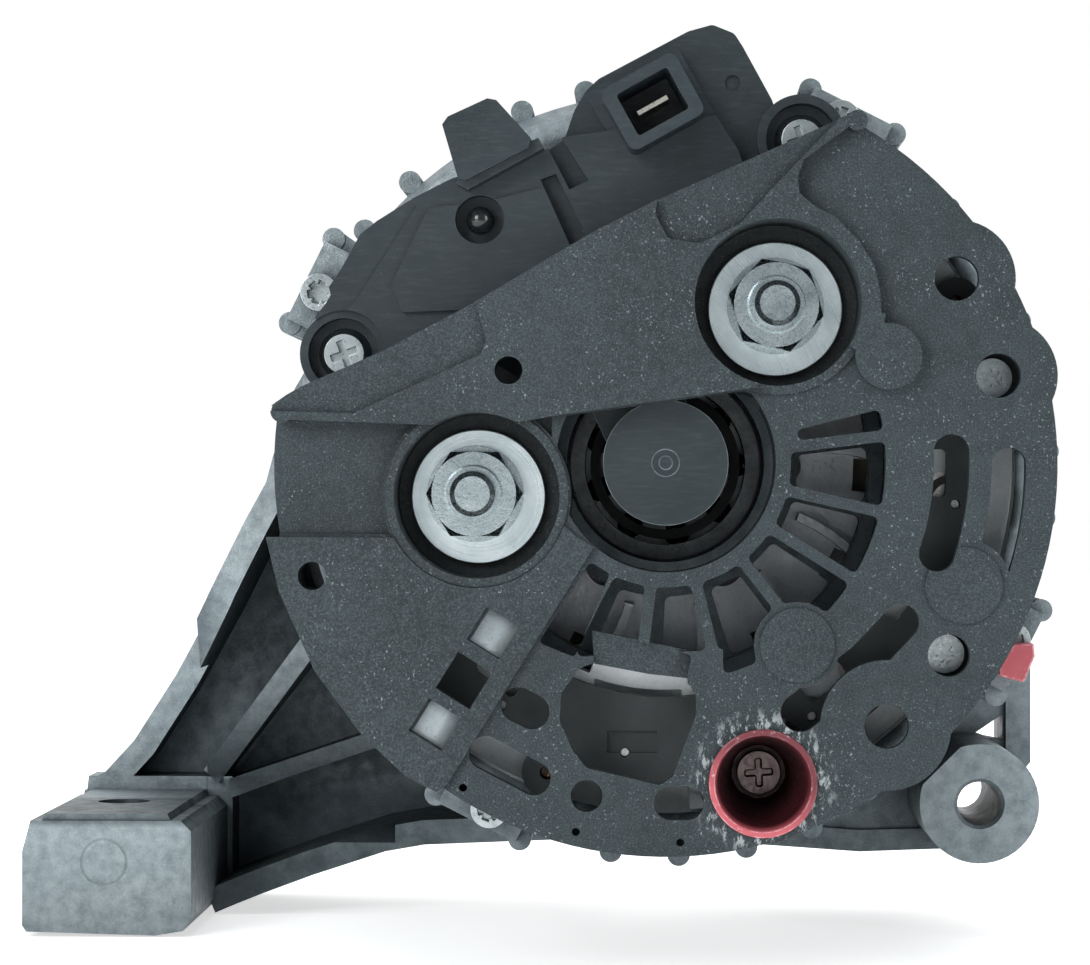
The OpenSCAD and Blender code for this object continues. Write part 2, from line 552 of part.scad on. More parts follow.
module cover_shell() difference() {
  union() {
    difference() {
      ex(y_face, -134) cover_outline();
      // hollow inside
      ex(y_face + 3, -100) offset(delta = -2.6) cover_outline();
      // lower textured ledge at the left
      ex(y_face - 1, y_face + 1.6) difference() {
        polygon([[-72, -12.6], [-72, 9], [-41, 9], [-20, 9], [-20, -12.6]]);
        at(b1) circle(recess_r + 1.6);
      }
    }
    difference() {
      ex(y_shield, y_face + 3) shield_outline();
      // scooped facets of the shield
      ex(y_shield - 1, y_shield + 1.5) polygon([[-75, 9.2], [-54.6, 8.6], [-32.3, 18.9],
        [-31.4, 21.5], [-33.5, 29], [-49.3, 21.7], [-75, 12]]);
      ex(y_shield - 1, y_shield + 2.2) round2(1.5) polygon([[-1.9, 43.4], [0.4, 39], [6, 38.2],
        [13, 41.6], [18.9, 48.1], [30.6, 60.2], [28, 64], [-1.1, 48.1]]);
    }
    ex(y_face - 1.4, y_face + 3) sector_plate();
    // disc pads
    for (p = [[23, -32, 6.5], [52.1, -21.5, 6.7]]) cyl(p[2], y_face - 0.7, y_face + 2, [p[0], p[1]]);
    // terminal recess cups
    for (p = [b1, b2]) {
      cyl(recess_r + 2.1, y_face, -148.6, p);
      cyl(recess_r + 1.5, y_face - 0.8, y_face, p);
    }
    // collar round the central opening
    ex(y_face, -150) intersection() { ring2(opening_r - 0.6, opening_r + 2.2); wedge(-125, 30); }
    // tube of the red sleeve
    cyl(10.6, y_face, -150, cup);
  }
  ex(y_shield - 1, -145) cover_opening();
  ex(y_shield - 1, -152.4) cover_windows();
  for (p = [b1, b2]) {
    cyl(recess_r, y_shield - 1, -150.5, p);
    cyl(7.1, -152, -140, p);
  }
  cyl(8.95, y_shield - 1, -140, cup);
  // room for the regulator
  ex(-154.6, -120) polygon([[-75, 8], [-50, 8], [-44, 12], [-8, 29], [-1, 33], [4, 40],
    [30, 47.6], [36, 52], [36, 80], [-75, 80]]);
  // the skirt stands clear of the bolt ears
  for (a = [63, 243, 333]) cyl(7, -140, -120, pol(bolt_r, a));
}

// ================================ regulator ================================
module regulator_body() color([0.12, 0.13, 0.14]) difference() {
  union() {
    // flange that rests on the two posts
    ex(-146, -140) difference() {
      union() {
        polygon([[-60, 13], [-46, 14], [-20, 26], [-6, 32], [2, 42], [18, 50], [30, 54], [29, 64],
          [20.2, 62.5], [-38.4, 51], [-45.9, 47.2], [-51.8, 43.5], [-54.8, 41.1], [-58.2, 34.9],
          [-65, 23]]);
        at(reg_l) circle(7.7);
        at(reg_r) circle(7.8);
      }
      at(b2) circle(17.6);
    }
    // main block
    ex(-153, -145) difference() {
      polygon([[-46, 15.5], [-20, 27.5], [-7, 33], [1, 42], [10, 48], [14.5, 51.5],
        [13, 56], [9, 62.2], [-18.2, 58.4], [-22, 55.8], [-38.4, 51], [-45.9, 47.2], [-51.8, 43.5],
        [-54.8, 41.1], [-58.2, 34.9], [-60.4, 31.7], [-60, 29.9], [-62.9, 26.3], [-61.5, 22],
        [-52, 15]]);
      at(reg_l) circle(7.8);
    }
    ex(-154.2, -152) polygon([[-49, 32], [-47, 27], [-24, 28], [-15, 36], [-20.6, 49.6], [-32, 46.8],
      [-42.4, 45.6]]);
    // screw bosses
    cyl(7.9, -151.5, -145, reg_l);
    cyl(8, -151.5, -145, reg_r);
    // plate that carries the connector
    ex(-148, -141) round2(1.5) polygon([[-20.5, 50], [-18.2, 58.4], [-16.4, 63.7], [-14.3, 67.3],
      [-12, 69.4], [4.1, 77.9], [8.5, 79.1], [12.4, 77.5], [13.9, 75.2], [19.2, 65.5],
      [20.2, 62.5], [22, 52], [0, 42]]);
    // connector box
    ex(-163, -142) at(con, con_a) round2(1.6) square([14.9, 12.3], center = true);
    ex(-151.4, -147) at(con, con_a) round2(2) square([18.5, 16.5], center = true);
  }
  // connector socket
  ex(-164, -146) at(con, con_a) round2(0.6) square([10.2, 8.3], center = true);
  // round recess
  cyl(4.4, -155, -149.4, [-33.2, 43.6]);
  // lower bevelled surface left of the block
  ex(-155, -152.2) polygon([[-44.6, 45.9], [-55.5, 29.1], [-72, 16], [-72, 40], [-50, 56]]);
  // channels beside the block
  ex(-155, -150.5) polygon([[-22.4, 50.8], [-19.6, 51.8], [-13, 38.4], [-16.2, 37]]);
  ex(-155, -149) polygon([[-21.5, 57.4], [-18.9, 58.6], [-13.8, 50.6], [-17.2, 49]]);
  // screw holes and counterbores
  for (p = [reg_l, reg_r]) {
    cyl(2.2, -160, -130, p, 32);
    cyl(6.4, -160, -147.6, p);
  }
  cyl(17.2, -160, -130, b2);
  // pocket for the plug pin
  cyl(1.6, -150, -147, [-33.2, 43.6], 24);
  // mouth of the brush holder
  ex(-155.5, -130) at([0, 0], brush_a) translate([20, -8.05]) square([21, 16.1]);
  // root of the blade
  ex(-147, -144) at(con, con_a) square([6, 0.8], center = true);
  // dimples
  for (p = [[12.1, 68.6, 1.4], [-13.6, 56.2, 1.3], [8.4, 54.6, 1.2]])
    cyl(p[2], -149, -147.2, [p[0], p[1]], 24);
}
module cable_clip() color([0.12, 0.13, 0.14]) {
  ex(-160, -153) polygon([[-36.8, 50.4], [-39.6, 60], [-38.6, 61.4], [-31.6, 64.6], [-30, 64.3],
    [-23.9, 57.6], [-24.4, 55.8], [-35.4, 50.1]]);
  ex(-158, -153) polygon([[-37.2, 49.7], [-36.2, 51.6], [-22.6, 57.8], [-21.6, 56], [-35.2, 48.6]]);
}
module regulator_plug() color([0.1, 0.1, 0.11]) {
  cyl(2.5, -151.4, -149.4, [-33.2, 43.6], 48);
  translate([-33.2, -151.4, 43.6]) scale(1) sphere(2.5, $fn = 48);
}
module regulator_terminal() color([0.8, 0.78, 0.7])
  ex(-157, -144) at(con, con_a) square([6, 0.8], center = true);
module regulator_screws() color([0.78, 0.8, 0.8]) for (p = [reg_l, reg_r]) {
  cyl(1.65, -148, -132, p, 32);
  difference() {
    cone(3.6, 4.8, -150.8, -147.6, p, 48);
    ex(-152, -149.4) at(p) for (k = [0:1]) rotate(k * 90 + 20) square([5, 1.2], center = true);
  }
}
// Brush holder with the cap that covers the slip rings
module brush_holder() color([0.13, 0.14, 0.15]) difference() {
  union() {
    cyl(11.1, -160, -131.5);
    ex(-154.2, -134.2) at([0, 0], brush_a) translate([5, -8]) square([35, 16]);
  }
  cyl(9.3, -158.4, -130);
  for (y = [-139.75, -150.75]) ex(y - 2.65, y + 2.65) at([0, 0], brush_a)
    translate([4, -3.65]) square([34, 7.3]);
  // small ring mark on the cap
  ex(-161, -159.6) ring2(1.2, 2.4, 48);
}
module brush(y) difference() {
  ex(y - 2.5, y + 2.5) at([0, 0], brush_a) translate([5, -3.5]) square([brush_l + 2.5, 7]);
  cyl(slip_ring_r + 0.08, y - 4, y + 4);
}
module brush_inner() color([0.25, 0.24, 0.24]) brush(-139.75);
module brush_outer() color([0.25, 0.24, 0.24]) brush(-150.75);
// Coil spring behind a brush, drawn as its stack of turns
module brush_spring(y) translate([0, y, 0]) rotate([0, -brush_a, 0])
  translate([brush_l + 7.5, 0, 0]) rotate([0, 90, 0]) rotate_extrude($fn = 32)
    polygon(concat([for (i = [0:16]) [i % 2 == 0 ? 2.3 : 1.9, i * (38 - brush_l - 7.5) / 16]],
      [for (i = [16:-1:0]) [i % 2 == 0 ? 1.5 : 1.2, i * (38 - brush_l - 7.5) / 16]]));
module brush_spring_inner() color([0.7, 0.72, 0.74]) brush_spring(-139.75);
module brush_spring_outer() color([0.7, 0.72, 0.74]) brush_spring(-150.75);

// ================================= rectifier =================================
module sink_cuts() {
  at(cup) circle(11.2);
  at(reg_r) circle(9.5);
  polygon([[-75, 8], [-46, 8], [-20, 26], [-5, 34], [-2, 46], [20, 60], [10, 90], [-75, 90]]);
}
module positive_heat_sink() color([0.74, 0.76, 0.77]) difference() {
  ex(-142, -138) difference() {
    union() {
      sector(40.4, 63, -172, -108);
      sector(36.6, 41.2, -110, -84);
      sector(40.4, 63, -86, 62);
      at(b1) circle(12);
      at(b2) circle(12);
      strip(b1, [-48, -14], 16);
      strip(b2, [36, 38], 18);
    }
    sink_cuts();
    circle(22.6);
    for (a = rect_a) at(pol(60.2, a)) circle(3.4, $fn = 32);
    for (a = lead_a) at(pol(59.5, a)) circle(3, $fn = 32);
    for (a = dio_n) at(pol(52.5, a)) circle(3.2, $fn = 32);
  }
  for (a = dio_p) cyl(6.35, -143, -137, pol(52.5, a));
  for (p = [s1, b2]) cyl(5, -143, -137, p);
}
module negative_heat_sink() color([0.7, 0.72, 0.73]) difference() {
  ex(-136, -132) difference() {
    sector(40.4, 64, -174, 58);
    sink_cuts();
    for (a = rect_a) at(pol(60.2, a)) circle(2, $fn = 32);
    for (a = lead_a) at(pol(59.5, a)) circle(3, $fn = 32);
    for (a = dio_p) at(pol(52.5, a)) circle(3.4, $fn = 32);
  }
  for (a = dio_n) cyl(6.35, -137, -131, pol(52.5, a));
}
module diode(a, y) { // pressed can with its lead
  cyl(6.35, y - 2, y + 2, pol(52.5, a));
  cone(4, 5.4, y - 3.4, y - 2, pol(52.5, a));
}
module positive_diodes() color([0.7, 0.7, 0.68]) for (a = dio_p) {
  diode(a, -140);
  cyl(0.7, -148, -143, pol(52.5, a), 24);
}
module negative_diodes() color([0.7, 0.7, 0.68]) for (a = dio_n) {
  diode(a, -134);
  cyl(0.7, -148, -137, pol(52.5, a), 24);
}
module rectifier_insulator() color([0.2, 0.2, 0.21]) for (a = concat(rect_a)) difference() {
  union() {
    cyl(5, -138, -136, pol(60.2, a), 48);
    cyl(3.3, -146, -136, pol(60.2, a), 48);
  }
  cyl(1.9, -147, -135, pol(60.2, a), 32);
}
module rectifier_terminal_frame() color([0.11, 0.12, 0.13]) difference() {
  ex(-150, -146) difference() {
    union() {
      sector(42, 58, -168, 40);
      for (a = lead_a) at(pol(59.5, a)) circle(4.5, $fn = 32);
      for (a = rect_a) at(pol(60.2, a)) circle(6, $fn = 32);
    }
    at(cup) circle(11.2);
    for (p = [b1, b2]) at(p) circle(17.2);
    // open patches between the tracks
    for (a = [-152, -128, -54, -30, -2, 16]) rotate(a) round2(1) sector(45, 50.5, -5, 5);
    for (a = rect_a) at(pol(60.2, a)) circle(2, $fn = 32);
  }
  for (a = concat(dio_p, dio_n)) cyl(0.9, -151, -140, pol(52.5, a), 24);
  for (a = lead_a) cyl(1.3, -151, -140, pol(59.5, a), 24);
  // raised deck of the block seen through the large window
  ex(-151, -149) at([-6, -50]) square([9, 4], center = true);
}
module rectifier_screws() color([0.78, 0.8, 0.8]) for (a = rect_a) {
  cyl(1.75, -150.5, -124, pol(60.2, a), 32);
  difference() {
    cyl(3.5, -153, -150, pol(60.2, a), 48);
    ex(-154, -151.6) at(pol(60.2, a)) for (k = [0:2]) rotate(k * 60) square([3.4, 1.1], center = true);
  }
}

// ================================= terminals =================================
module b_plus_stud(p) {
  cyl(5, -142, -138, p);
  cyl(6, -150.5, -142, p);
  cyl(thread_root_r, -161.4, -150.3, p);
  cyl(stud_r, -164.4, -161.4, p);
  cone(stud_r - 0.9, stud_r, -165.4, -164.4, p);
}
module b_plus_stud_left() color([0.76, 0.78, 0.78]) b_plus_stud(s1);
module b_plus_stud_right() color([0.76, 0.78, 0.78]) b_plus_stud(b2);
module b_plus_washers() color([0.72, 0.78, 0.8]) for (p = [s1, b2])
  ex(-152.6, -150.5) at(p) difference() {
    translate([p == s1 ? 0.5 : 0, -0.45]) circle(washer_r, $fn = 96);
    translate([p == s1 ? 0.5 : 0, -0.45]) circle(stud_r + 0.8, $fn = 64);
  }
module nut(p, a) difference() {
  union() {
    intersection() {
      ex(-159.6, -152.6) at(p, a) hex(nut_af);
      cone(nut_af * 0.5, nut_af * 0.7, -159.61, -152.5, p);
    }
    cone(4.9, 5.2, -161.2, -159.3, p);
    cyl(8.6, -153.8, -152.6, p);
  }
  cyl(thread_root_r, -170, -150, p);
}
module b_plus_nuts() color([0.78, 0.82, 0.84]) { nut(s1, 0); nut(b2, -13); }

// ============================ red sleeve and details ============================
module screw_sleeve() color([0.72, 0.25, 0.3]) difference() {
  union() {
    cone(8.9, 6.9, -166, -136.2, cup);
    cyl(9.5, -166.4, -165, cup);
  }
  cone(8.4, 4.9, -166.5, -138, cup);
  cyl(2.2, -140, -130, cup, 32);
}
module sleeve_screw() color([0.4, 0.42, 0.43]) {
  cyl(2.05, -138.4, -122, cup, 32);
  difference() {
    cyl(4, -140.4, -138, cup, 48);
    ex(-141, -139.2) at(cup) for (k = [0:1]) rotate(k * 90 + 4) square([5, 1.1], center = true);
  }
}
module insulator_tab() color([0.75, 0.3, 0.33])
  ex(-140, -135.2) polygon([[60.6, -35.4], [63.4, -32.8], [67, -32.6], [67.2, -35], [65.2, -39.8], [60.8, -38.6]]);

front_frame();
rear_frame();
stator_core();
stator_winding();
stator_leads();
through_bolts();
rotor_shaft();
claw_pole_front();
claw_pole_rear();
field_coil();
coil_bobbin();
front_fan();
rear_fan();
slip_ring_inner();
slip_ring_outer();
slip_ring_insulator();
front_bearing_outer_race();
front_bearing_inner_race();
front_bearing_balls();
front_bearing_cage();
rear_bearing_outer_race();
rear_bearing_inner_race();
rear_bearing_balls();
rear_bearing_cage();
rear_bearing_sleeve();
bearing_retainer_plate();
retainer_screws();
shaft_spacer();
pulley();
pulley_nut();
rear_cover();
regulator_body();
brush_holder();
regulator_terminal();
regulator_screws();
regulator_plug();
brush_inner();
brush_outer();
brush_spring_inner();
brush_spring_outer();
positive_heat_sink();
negative_heat_sink();
positive_diodes();
negative_diodes();
rectifier_insulator();
rectifier_terminal_frame();
rectifier_screws();
b_plus_stud_left();
b_plus_stud_right();
b_plus_nuts();
b_plus_washers();
screw_sleeve();
sleeve_screw();
insulator_tab();
cable_clip();
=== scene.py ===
import bpy, bmesh, math, json
from mathutils import Vector, Matrix

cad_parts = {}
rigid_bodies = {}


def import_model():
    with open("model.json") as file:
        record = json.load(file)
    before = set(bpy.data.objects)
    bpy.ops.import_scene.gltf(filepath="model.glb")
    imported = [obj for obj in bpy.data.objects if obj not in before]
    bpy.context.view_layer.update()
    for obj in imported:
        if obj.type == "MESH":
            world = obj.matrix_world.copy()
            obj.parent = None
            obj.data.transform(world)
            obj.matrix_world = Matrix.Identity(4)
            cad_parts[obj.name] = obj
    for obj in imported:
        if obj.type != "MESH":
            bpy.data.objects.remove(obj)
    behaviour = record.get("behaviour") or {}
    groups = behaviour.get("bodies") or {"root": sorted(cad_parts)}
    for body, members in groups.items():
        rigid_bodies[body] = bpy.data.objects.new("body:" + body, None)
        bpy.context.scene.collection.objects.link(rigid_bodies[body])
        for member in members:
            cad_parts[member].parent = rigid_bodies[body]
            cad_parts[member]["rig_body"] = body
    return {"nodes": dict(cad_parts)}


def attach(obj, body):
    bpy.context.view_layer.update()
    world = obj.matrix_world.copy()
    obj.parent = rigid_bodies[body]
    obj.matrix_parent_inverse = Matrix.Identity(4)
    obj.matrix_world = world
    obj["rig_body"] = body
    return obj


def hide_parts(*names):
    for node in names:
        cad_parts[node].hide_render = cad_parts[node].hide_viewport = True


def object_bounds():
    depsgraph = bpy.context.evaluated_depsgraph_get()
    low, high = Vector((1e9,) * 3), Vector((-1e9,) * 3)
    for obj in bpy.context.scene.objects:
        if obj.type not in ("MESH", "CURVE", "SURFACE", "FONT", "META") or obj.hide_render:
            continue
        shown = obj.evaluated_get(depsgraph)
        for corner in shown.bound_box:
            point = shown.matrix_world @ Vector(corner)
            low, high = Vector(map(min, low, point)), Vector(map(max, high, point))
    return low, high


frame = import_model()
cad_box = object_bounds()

nodes = frame["nodes"]
MM = 0.001

# ------------------------------------------------------------------ materials
class Mat:
    """A procedural material. Texture coordinates are object coordinates in millimetres."""

    def __init__(self, name):
        self.m = bpy.data.materials.new(name)
        self.m.use_nodes = True
        self.nt = self.m.node_tree
        self.nt.nodes.clear()
        self.out = self.n("ShaderNodeOutputMaterial")
        self.b = self.n("ShaderNodeBsdfPrincipled")
        self.nt.links.new(self.b.outputs[0], self.out.inputs[0])
        tc = self.n("ShaderNodeTexCoord")
        mp = self.n("ShaderNodeMapping")
        mp.inputs["Scale"].default_value = (1000, 1000, 1000)
        self.nt.links.new(tc.outputs["Object"], mp.inputs["Vector"])
        self.mm = mp.outputs[0]

    def n(self, t, **kw):
        x = self.nt.nodes.new(t)
        for k, v in kw.items():
            setattr(x, k, v)
        return x

    def put(self, socket, v):
        if isinstance(v, bpy.types.NodeSocket):
            self.nt.links.new(v, socket)
        else:
            socket.default_value = v

    def noise(self, scale, detail=3.0, rough=0.55, vec=None, dist=0.0):
        x = self.n("ShaderNodeTexNoise")
        self.put(x.inputs["Vector"], vec or self.mm)
        x.inputs["Scale"].default_value = scale
        x.inputs["Detail"].default_value = detail
        x.inputs["Roughness"].default_value = rough
        x.inputs["Distortion"].default_value = dist
        return x.outputs["Fac"]

    def voronoi(self, scale, feature="F1", vec=None):
        x = self.n("ShaderNodeTexVoronoi", feature=feature)
        self.put(x.inputs["Vector"], vec or self.mm)
        x.inputs["Scale"].default_value = scale
        return x.outputs["Distance"]

    def stretch(self, sx, sy, sz, rot=(0, 0, 0)):
        x = self.n("ShaderNodeMapping")
        self.nt.links.new(self.mm, x.inputs["Vector"])
        x.inputs["Scale"].default_value = (sx, sy, sz)
        x.inputs["Rotation"].default_value = rot
        return x.outputs[0]

    def ramp(self, fac, a, b, lo=0.0, hi=1.0):
        x = self.n("ShaderNodeMapRange")
        self.put(x.inputs["Value"], fac)
        x.inputs["From Min"].default_value = a
        x.inputs["From Max"].default_value = b
        x.inputs["To Min"].default_value = lo
        x.inputs["To Max"].default_value = hi
        return x.outputs[0]

    def math(self, op, a, b=0.0):
        x = self.n("ShaderNodeMath", operation=op)
        self.put(x.inputs[0], a)
        self.put(x.inputs[1], b)
        return x.outputs[0]

    def mix(self, fac, a, b):
        x = self.n("ShaderNodeMix", data_type="RGBA")
        self.put(x.inputs["Factor"], fac)
        for i, v in ((6, a), (7, b)):
            if isinstance(v, bpy.types.NodeSocket):
                self.nt.links.new(v, x.inputs[i])
            else:
                x.inputs[i].default_value = (*v, 1) if len(v) == 3 else v
        return x.outputs[2]

    def bump(self, height, dist, strength=1.0, normal=None):
        x = self.n("ShaderNodeBump")
        x.inputs["Strength"].default_value = strength
        x.inputs["Distance"].default_value = dist
        self.put(x.inputs["Height"], height)
        if normal is not None:
            self.put(x.inputs["Normal"], normal)
        return x.outputs[0]

    def cavity(self, dist, samples=6):
        """1 in the open, 0 deep in a pocket."""
        x = self.n("ShaderNodeAmbientOcclusion", samples=samples)
        x.inputs["Distance"].default_value = dist
        return x.outputs["AO"]

    def split(self):
        x = self.n("ShaderNodeSeparateXYZ")
        self.nt.links.new(self.mm, x.inputs[0])
        return x.outputs

    def set(self, color=None, rough=None, metal=0.0, normal=None, spec=0.5, coat=0.0, coat_rough=0.1):
        b = self.b
        if color is not None:
            self.put(b.inputs["Base Color"], color if isinstance(color, bpy.types.NodeSocket) else (*color, 1))
        if rough is not None:
            self.put(b.inputs["Roughness"], rough)
        self.put(b.inputs["Metallic"], metal)
        b.inputs["Specular IOR Level"].default_value = spec
        b.inputs["Coat Weight"].default_value = coat
        b.inputs["Coat Roughness"].default_value = coat_rough
        if normal is not None:
            self.put(b.inputs["Normal"], normal)
        return self.m


def cover_plastic(name, edge=0.0):
    """Black glass-filled plastic: fine grain, pale specks, painted shade in the pockets, edges lightened partly as
    rubbed wear and partly as painted highlight.
    """
    m = Mat(name)
    big = m.noise(0.05, 4)
    mid = m.noise(0.5, 4)
    grain = m.noise(3.2, 2, 0.6)
    specks = m.ramp(m.noise(2.3, 1.5, 0.4), 0.66, 0.76)
    zone = m.ramp(m.noise(0.11, 3), 0.40, 0.62, 0.12, 1.0)
    col = m.mix(m.ramp(big, 0.3, 0.7), (0.014, 0.022, 0.026), (0.027, 0.040, 0.046))
    col = m.mix(m.ramp(mid, 0.35, 0.75, 0, 0.5), col, (0.044, 0.062, 0.069))
    col = m.mix(m.ramp(grain, 0.38, 0.52, 0.6, 0.0), col, (0.006, 0.010, 0.012))
    col = m.mix(m.ramp(grain, 0.54, 0.70, 0.0, 0.5), col, (0.085, 0.108, 0.116))
    col = m.mix(m.math("MULTIPLY", specks, m.math("MULTIPLY", zone, 0.75)), col, (0.26, 0.31, 0.33))
    x, y, z = m.split()
    dx = m.math("SUBTRACT", x, 17.0)
    dz = m.math("SUBTRACT", z, -56.2)
    r = m.math("SQRT", m.math("ADD", m.math("MULTIPLY", dx, dx), m.math("MULTIPLY", dz, dz)))
    near = m.math("MULTIPLY", m.ramp(r, 9.2, 13.5, 1.0, 0.0), m.ramp(y, -164.6, -163.8, 1.0, 0.0))
    rub = m.ramp(m.noise(0.55, 6, 0.72, m.stretch(1.6, 1, 0.7, (0, 0.6, 0))), 0.53, 0.60)
    col = m.mix(m.math("MULTIPLY", near, m.math("MULTIPLY", rub, 0.8)), col, (0.62, 0.68, 0.70))
    # painted shade: the colour darkens to near black deep in pockets and crevices
    col = m.mix(m.ramp(m.cavity(0.02), 0.15, 0.7, 0.75, 0.0), col, (0.004, 0.007, 0.008))
    rough = m.ramp(m.noise(0.9, 3), 0.3, 0.7, 0.46, 0.64)
    if edge:
        # pale edges on the bevels: partly rubbed wear, partly painted highlight along the ridges
        pale_edge_mask = m.ramp(m.noise(0.28, 5, 0.7), 0.36, 0.62, 0.22, edge)
        col = m.mix(pale_edge_mask, col, (0.44, 0.51, 0.53))
        rough = m.ramp(m.noise(0.9, 3), 0.3, 0.7, 0.34, 0.5)
    h = m.math("ADD", m.math("MULTIPLY", grain, 0.6), m.math("MULTIPLY", m.noise(1.1, 3), 0.7))
    return m.set(col, rough, 0.0, m.bump(h, 0.00018, 0.6), spec=0.36)


def smooth_plastic(name, edge=0.0, a=(0.013, 0.021, 0.025), b=(0.024, 0.035, 0.041)):
    m = Mat(name)
    big = m.noise(0.07, 3)
    streak = m.noise(0.9, 3, 0.6, m.stretch(0.25, 1, 1.6, (0, 0.5, 0)))
    col = m.mix(m.ramp(big, 0.3, 0.7), a, b)
    col = m.mix(m.ramp(streak, 0.5, 0.8, 0, 0.3), col, (0.07, 0.085, 0.09))
    dust = m.ramp(m.noise(3.6, 1.5), 0.70, 0.78, 0, 0.25)
    col = m.mix(dust, col, (0.2, 0.23, 0.24))
    rough = m.ramp(m.noise(0.5, 4), 0.3, 0.7, 0.36, 0.52)
    if edge:
        pale_edge_mask = m.ramp(m.noise(0.35, 5, 0.7), 0.40, 0.64, 0.18, edge)
        col = m.mix(pale_edge_mask, col, (0.36, 0.42, 0.44))
    return m.set(col, rough, 0.0, m.bump(m.noise(4.5, 2), 0.00005, 0.5), spec=0.36)


def cast_metal(name, edge=0.0, dark=0.0):
    """Die-cast aluminium: shot-blasted grain, grey-blue skin, stains, and painted shade in the pockets, over the
    lower wall and on top of the foot.
    """
    m = Mat(name)
    big = m.noise(0.035, 5, 0.6)
    mot = m.noise(0.35, 5, 0.65)
    grain = m.noise(2.6, 3, 0.6)
    pits = m.ramp(m.voronoi(0.9), 0.0, 0.22)
    col = m.mix(m.ramp(big, 0.3, 0.7), (0.27, 0.325, 0.35), (0.40, 0.455, 0.475))
    col = m.mix(m.ramp(mot, 0.38, 0.70, 0, 0.7), col, (0.15, 0.19, 0.205))
    col = m.mix(m.ramp(grain, 0.55, 0.8, 0, 0.4), col, (0.66, 0.72, 0.74))
    stain = m.ramp(m.noise(0.09, 5, 0.7), 0.62, 0.72, 0, 0.55)
    col = m.mix(stain, col, (0.10, 0.12, 0.125))
    # painted shade: the colour darkens to near black deep in the pockets
    ao = m.cavity(0.045)
    col = m.mix(m.ramp(ao, 0.18, 0.80, 0.96, 0.0), col, (0.020, 0.028, 0.032))
    x, y, z = m.split()
    # painted shade over the lower wall of the bracket and on top of the foot, in uneven patches
    low = m.math("MULTIPLY", m.ramp(x, -94.0, -86.0), m.ramp(x, -46.0, -30.0, 1.0, 0.0))
    low = m.math("MULTIPLY", low, m.ramp(z, -66.0, -70.0))
    low = m.math("MULTIPLY", low, m.ramp(z, -94.5, -92.0, 0.35, 1.0))
    top = m.math("MULTIPLY", m.ramp(z, -70.4, -69.3), m.ramp(x, -92.0, -93.5))
    top = m.math("MULTIPLY", top, m.ramp(y, -60.0, -64.0))
    patch = m.ramp(m.noise(0.14, 5, 0.65), 0.30, 0.62, 0.55, 1.0)
    painted_shade = m.math("MULTIPLY", m.math("MAXIMUM", m.math("MULTIPLY", low, 0.92), m.math("MULTIPLY", top, 0.72)), patch)
    col = m.mix(painted_shade, col, (0.030, 0.042, 0.047))
    # round ejector mark on the rear face of the foot
    dx = m.math("ADD", x, 108.9)
    dz = m.math("ADD", z, 77.0)
    r = m.math("SQRT", m.math("ADD", m.math("MULTIPLY", dx, dx), m.math("MULTIPLY", dz, dz)))
    off = m.math("ABSOLUTE", m.math("SUBTRACT", r, 4.4))
    ring = m.math("MULTIPLY", m.ramp(off, 0.12, 0.42, 1.0, 0.0), m.ramp(y, -99.8, -98.5, 1.0, 0.0))
    col = m.mix(m.math("MULTIPLY", ring, 0.45), col, (0.12, 0.15, 0.16))
    if edge:
        # pale edges on the bevels: partly wear, partly painted highlight, held back where the painted shade lies on
        # the lower wall
        pale_edge_mask = m.ramp(m.noise(0.3, 5, 0.7), 0.40, 0.62, 0.25, edge)
        pale_edge_mask = m.math("MULTIPLY", pale_edge_mask, m.math("SUBTRACT", 1.0, m.math("MULTIPLY", low, 0.6)))
        col = m.mix(pale_edge_mask, col, (0.78, 0.84, 0.86))
    rough = m.ramp(mot, 0.3, 0.7, 0.38, 0.58)
    h = m.math("ADD", grain, m.math("MULTIPLY", pits, 0.25))
    h = m.math("SUBTRACT", h, m.math("MULTIPLY", ring, 0.8))
    return m.set(col, rough, 0.72, m.bump(h, 0.00018, 0.5), spec=0.5)


def bright_metal(name, a=(0.62, 0.67, 0.69), b=(0.82, 0.86, 0.87), rough=(0.20, 0.36), metal=1.0, tarnish=0.35,
                 tarnish_col=(0.20, 0.22, 0.23), scratch=(1, 1, 1), spec=0.5):
    m = Mat(name)
    big = m.noise(0.16, 4)
    fine = m.noise(1.6, 4, 0.6, m.stretch(*scratch))
    col = m.mix(m.ramp(big, 0.3, 0.7), a, b)
    col = m.mix(m.ramp(fine, 0.52, 0.8, 0, tarnish), col, tarnish_col)
    r = m.ramp(fine, 0.3, 0.7, *rough)
    return m.set(col, r, metal, m.bump(fine, 0.00006, 0.35), spec=spec)


def ring_metal(name, centre, a, b, rough=(0.24, 0.4)):
    """Turned or punched face with fine circular marks round centre (x, z), in millimetres."""
    m = Mat(name)
    x, y, z = m.split()
    dx = m.math("SUBTRACT", x, centre[0])
    dz = m.math("SUBTRACT", z, centre[1])
    r = m.math("SQRT", m.math("ADD", m.math("MULTIPLY", dx, dx), m.math("MULTIPLY", dz, dz)))
    v = m.n("ShaderNodeCombineXYZ")
    m.put(v.inputs[0], m.math("MULTIPLY", r, 5.0))
    m.put(v.inputs[1], m.math("MULTIPLY", y, 0.5))
    m.put(v.inputs[2], m.math("MULTIPLY", x, 0.06))
    line = m.noise(1.0, 3, 0.6, v.outputs[0])
    big = m.noise(0.2, 4)
    col = m.mix(m.ramp(big, 0.3, 0.7), a, b)
    col = m.mix(m.ramp(line, 0.55, 0.8, 0, 0.35), col, (0.25, 0.28, 0.30))
    return m.set(col, m.ramp(line, 0.3, 0.7, *rough), 1.0, m.bump(line, 0.00005, 0.4))


